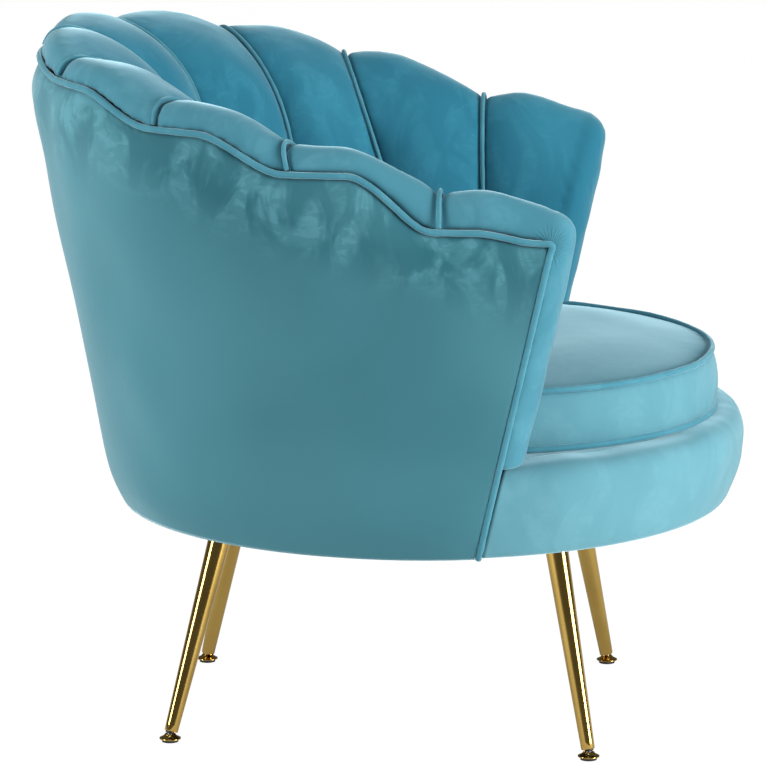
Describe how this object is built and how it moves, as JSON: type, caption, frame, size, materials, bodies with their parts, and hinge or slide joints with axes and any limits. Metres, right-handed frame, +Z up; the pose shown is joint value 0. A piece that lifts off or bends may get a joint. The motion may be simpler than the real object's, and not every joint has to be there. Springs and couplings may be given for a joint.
{
  "type": "upholstered lounge chair",
  "caption": "Round velvet lounge chair with a scalloped, petal-shaped back that wraps into arms, a loose round seat cushion and splayed brass legs.",
  "frame": {"origin": "On the floor under the middle of the whole chair's bounding box.", "axes": "+Z is up, the sitter faces -Y and +X is at the sitter's left hand."},
  "size_m": [0.7382, 0.7843, 0.7722],
  "materials": {
    "velvet": "short teal velvet pile",
    "velvet_piping": "piping and welts in the same velvet",
    "foam": "upholstery foam",
    "felt": "needled felt",
    "lining": "thin black lining cloth",
    "frame_wood": "plain plywood and softwood",
    "thin_board": "thin fibre board",
    "spring_steel": "bare spring wire",
    "brass_finish": "polished brass finish",
    "plated_steel": "zinc plated",
    "insert_plastic": "moulded, matt",
    "glide": "dark, matt"
  },
  "bodies": {
    "chair_frame": {"arm_roll_left": "velvet", "arm_roll_right": "velvet", "back_cover": "velvet", "back_posts": "frame_wood", "base_cover": "velvet", "base_foam": "foam", "bottom_board": "frame_wood", "deck_cloth": "velvet", "deck_foam": "foam", "dust_cover": "lining", "front_band": "thin_board", "front_piping_left": "velvet_piping", "front_piping_right": "velvet_piping", "inner_board": "thin_board", "leg_front_left": "brass_finish", "leg_front_right": "brass_finish", "leg_inserts": "insert_plastic", "leg_plate_front_left": "plated_steel", "leg_plate_front_right": "plated_steel", "leg_plate_rear_left": "plated_steel", "leg_plate_rear_right": "plated_steel", "leg_rear_left": "brass_finish", "leg_rear_right": "brass_finish", "leg_screws": "plated_steel", "outer_board": "thin_board", "petal_left_1": "velvet", "petal_left_2": "velvet", "petal_left_3": "velvet", "petal_left_4": "velvet", "petal_left_5": "velvet", "petal_right_1": "velvet", "petal_right_2": "velvet", "petal_right_3": "velvet", "petal_right_4": "velvet", "petal_right_5": "velvet", "petal_welts": "velvet", "rim_piping": "velvet_piping", "seat_ring": "frame_wood", "seat_ring_blocks": "frame_wood", "seat_springs": "spring_steel", "spring_clips": "spring_steel", "spring_felt": "felt", "tee_nuts": "plated_steel", "top_rail": "frame_wood"},
    "seat_cushion": {"cushion_cover": "velvet", "cushion_foam": "foam", "cushion_piping_top": "velvet_piping", "cushion_piping_bottom": "velvet_piping"},
    "foot_front_left": {"foot_shell_front_left": "brass_finish", "foot_pad_front_left": "glide"},
    "stem_front_left": {"foot_stem_front_left": "plated_steel"},
    "foot_front_right": {"foot_shell_front_right": "brass_finish", "foot_pad_front_right": "glide"},
    "stem_front_right": {"foot_stem_front_right": "plated_steel"},
    "foot_rear_left": {"foot_shell_rear_left": "brass_finish", "foot_pad_rear_left": "glide"},
    "stem_rear_left": {"foot_stem_rear_left": "plated_steel"},
    "foot_rear_right": {"foot_shell_rear_right": "brass_finish", "foot_pad_rear_right": "glide"},
    "stem_rear_right": {"foot_stem_rear_right": "plated_steel"}
  },
  "joints": [
    {"name": "cushion_lift", "type": "slide", "parent": "chair_frame", "child": "seat_cushion", "axis": [0, 0, 1], "range_m": [0, 0.2]},
    {"name": "foot_out_front_left", "type": "slide", "parent": "chair_frame", "child": "foot_front_left", "axis": [0.1877, -0.1714, -0.9672], "range_m": [0, 0.0075]},
    {"name": "stem_turn_front_left", "type": "hinge", "parent": "foot_front_left", "child": "stem_front_left", "pos_m": [0.2085, -0.23307, 0.007], "axis": [0.1877, -0.1714, -0.9672], "range_deg": [0, 2162]},
    {"name": "foot_out_front_right", "type": "slide", "parent": "chair_frame", "child": "foot_front_right", "axis": [-0.1877, -0.1714, -0.9672], "range_m": [0, 0.0075]},
    {"name": "stem_turn_front_right", "type": "hinge", "parent": "foot_front_right", "child": "stem_front_right", "pos_m": [-0.2085, -0.23307, 0.007], "axis": [-0.1877, -0.1714, -0.9672], "range_deg": [0, 2162]},
    {"name": "foot_out_rear_left", "type": "slide", "parent": "chair_frame", "child": "foot_rear_left", "axis": [0.2572, 0.2215, -0.9406], "range_m": [0, 0.0075]},
    {"name": "stem_turn_rear_left", "type": "hinge", "parent": "foot_rear_left", "child": "stem_rear_left", "pos_m": [0.1748, 0.22673, 0.007], "axis": [0.2572, 0.2215, -0.9406], "range_deg": [0, 2162]},
    {"name": "foot_out_rear_right", "type": "slide", "parent": "chair_frame", "child": "foot_rear_right", "axis": [-0.2572, 0.2215, -0.9406], "range_m": [0, 0.0075]},
    {"name": "stem_turn_rear_right", "type": "hinge", "parent": "foot_rear_right", "child": "stem_rear_right", "pos_m": [-0.1748, 0.22673, 0.007], "axis": [-0.2572, 0.2215, -0.9406], "range_deg": [0, 2162]}
  ],
  "couplings": [
    {"joint": "stem_turn_front_left", "follows": "foot_out_front_left", "rad_per_m": 5026.5},
    {"joint": "stem_turn_front_right", "follows": "foot_out_front_right", "rad_per_m": 5026.5},
    {"joint": "stem_turn_rear_left", "follows": "foot_out_rear_left", "rad_per_m": 5026.5},
    {"joint": "stem_turn_rear_right", "follows": "foot_out_rear_right", "rad_per_m": 5026.5}
  ]
}
